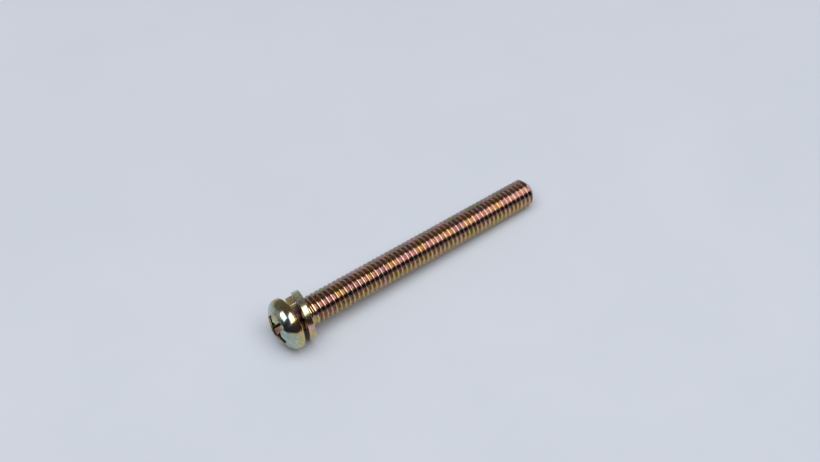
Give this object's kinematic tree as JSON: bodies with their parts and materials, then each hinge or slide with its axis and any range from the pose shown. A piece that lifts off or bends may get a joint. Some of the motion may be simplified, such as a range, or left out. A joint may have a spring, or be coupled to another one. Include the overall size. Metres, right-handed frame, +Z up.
{
  "type": "machine screw",
  "caption": "Cross-recessed pan head machine screw with a captive split lock washer that turns freely on the plain neck under the head.",
  "frame": {"origin": "middle of the screw's length and width, on the ground that it lies on", "axes": "+X along the shank towards the tip, which falls a little; +Y across the screw; +Z up"},
  "size_m": [0.0414, 0.007, 0.007],
  "materials": {
    "plating": "bright yellow zinc plating",
    "washer_plating": "yellow zinc plating over sprung steel, greener than the screw"
  },
  "bodies": {
    "screw": {"screw": "plating"},
    "lock_washer": {"lock_washer": "washer_plating"}
  },
  "joints": [
    {"name": "washer_spin", "type": "hinge", "parent": "screw", "child": "lock_washer", "pos_m": [-0.01667, 0, 0.00342], "axis": [0.9992, 0, -0.0399], "continuous": true}
  ]
}
